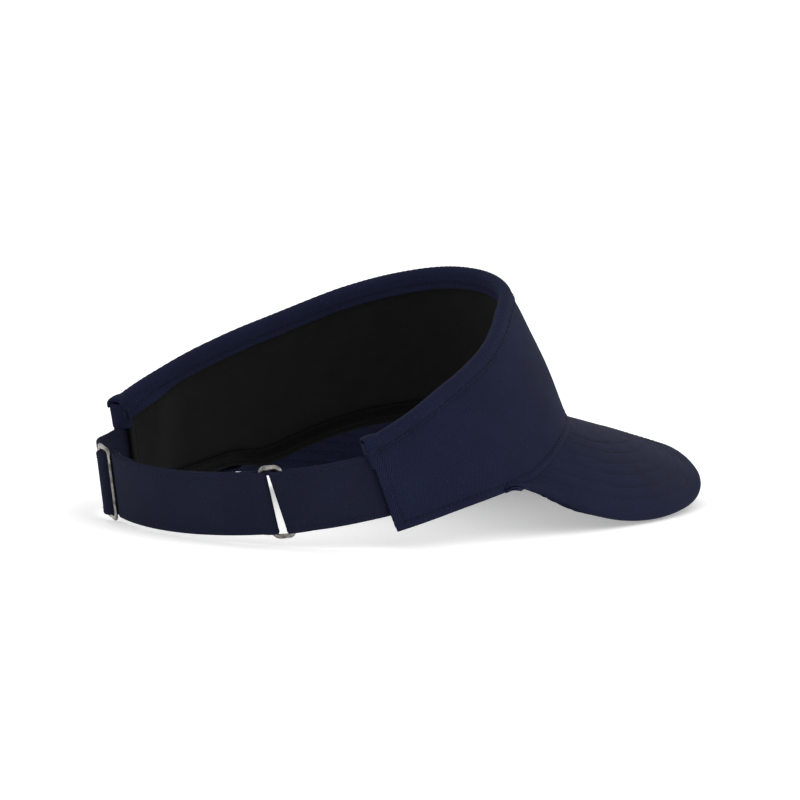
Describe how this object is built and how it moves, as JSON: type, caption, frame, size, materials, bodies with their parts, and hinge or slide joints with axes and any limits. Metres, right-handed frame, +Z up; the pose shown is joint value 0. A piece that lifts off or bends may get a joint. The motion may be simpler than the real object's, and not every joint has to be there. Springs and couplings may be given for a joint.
{
  "type": "adjustable sun visor",
  "caption": "Open-crown cloth sun visor with a curved stiff brim and a webbing strap closed by a metal ring and a sliding buckle.",
  "frame": {"origin": "bottom centre of the visor's bounding box, on the floor it rests on, brim and slider down", "axes": "+Z up, brim towards -Y, wearer's left towards +X; the head band is tipped 12.78 degrees about X, front up"},
  "size_m": [0.17, 0.289, 0.0976],
  "materials": {
    "navy_twill": "navy cotton twill",
    "navy_strap": "navy cotton twill strap",
    "black_felt": "black brushed lining",
    "grey_buckram": "stiff woven interlining, hidden",
    "white_board": "plain polyethylene board, hidden",
    "antique_metal": "antique nickel plate"
  },
  "bodies": {
    "band": {"crown_shell": "navy_twill", "crown_buckram": "grey_buckram", "crown_lining": "black_felt", "crown_hem_left": "navy_twill", "crown_hem_right": "navy_twill", "top_binding": "navy_twill", "edge_tape": "black_felt", "brim_top_cover": "navy_twill", "brim_board": "white_board", "brim_under_cover": "navy_twill", "brim_seam_allowance": "navy_twill", "tab_strap": "navy_strap", "strap_far_run": "navy_strap", "strap_near_run": "navy_strap", "strap_return_run": "navy_strap"},
    "slider": {"slider": "antique_metal", "strap_over_slider": "navy_strap", "strap_end_fold": "navy_strap"},
    "ring": {"ring": "antique_metal", "strap_ring_turn": "navy_strap"}
  },
  "joints": [
    {"name": "slider_travel", "type": "hinge", "parent": "band", "child": "slider", "pos_m": [-0.00166, 0.05713, 0.0137], "axis": [0, 0.2212, 0.9752], "range_deg": [-20, 30], "deforming": ["strap_far_run", "strap_near_run", "strap_return_run"]},
    {"name": "ring_swing", "type": "hinge", "parent": "band", "child": "ring", "pos_m": [-0.05335, 0.12282, 0.01787], "axis": [0, 0.2212, 0.9752], "range_deg": [-10, 10]}
  ]
}
